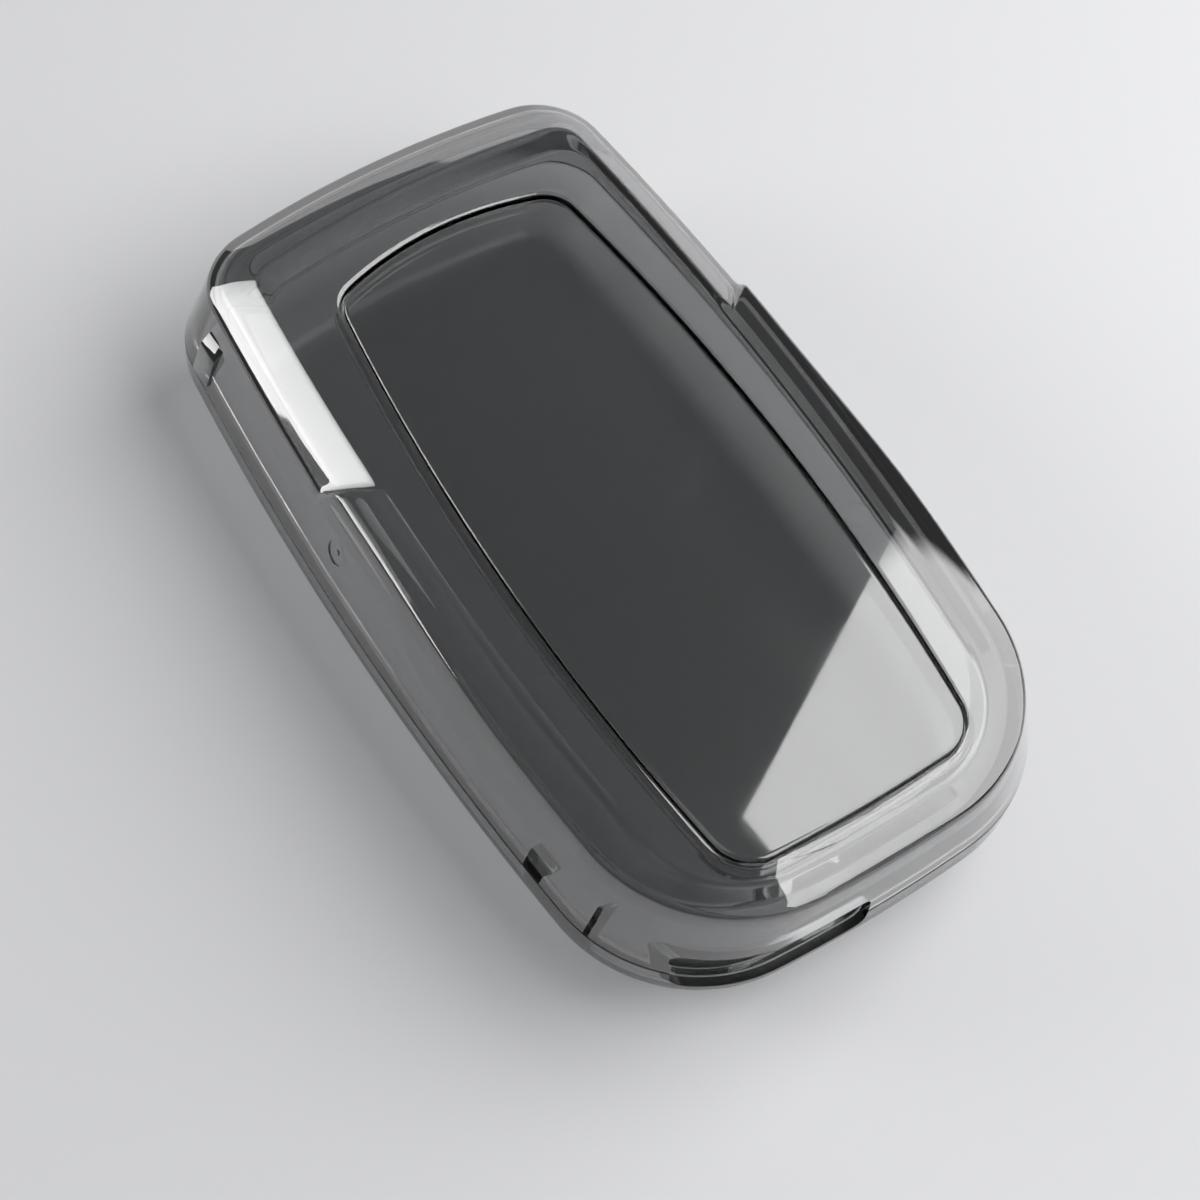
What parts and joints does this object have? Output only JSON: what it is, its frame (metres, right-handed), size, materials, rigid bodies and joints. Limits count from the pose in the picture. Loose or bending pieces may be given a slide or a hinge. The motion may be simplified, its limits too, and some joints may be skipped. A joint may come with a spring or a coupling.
{
  "type": "key fob cover",
  "caption": "Rigid smoked-clear snap cover for a car key fob: a rear tray and a lift-off front frame with a springy press panel, a wide bevel and a key-ring slot at one end.",
  "frame": {"origin": "under the middle of the closed cover, in the plane of its flat back", "axes": "+Z from the flat back to the front panel, +Y along the cover to the end away from the key-ring slot, X across"},
  "size_m": [0.0474, 0.08, 0.019],
  "materials": {
    "smoked_plastic": "high gloss, smoked transparent",
    "panel_plastic": "high gloss, smoked transparent"
  },
  "bodies": {
    "rear": {"rear_shell": "smoked_plastic"},
    "front": {"front_shell": "smoked_plastic"},
    "panel": {"front_panel": "panel_plastic"}
  },
  "joints": [
    {"name": "front_lift", "type": "slide", "parent": "rear", "child": "front", "axis": [0, 0, 1], "range_m": [0, 0.03]},
    {"name": "panel_press", "type": "slide", "parent": "front", "child": "panel", "axis": [0, 0, -1], "range_m": [0, 0.0006], "stiffness_N_per_m": 2500, "springref_m": -0.0002}
  ]
}
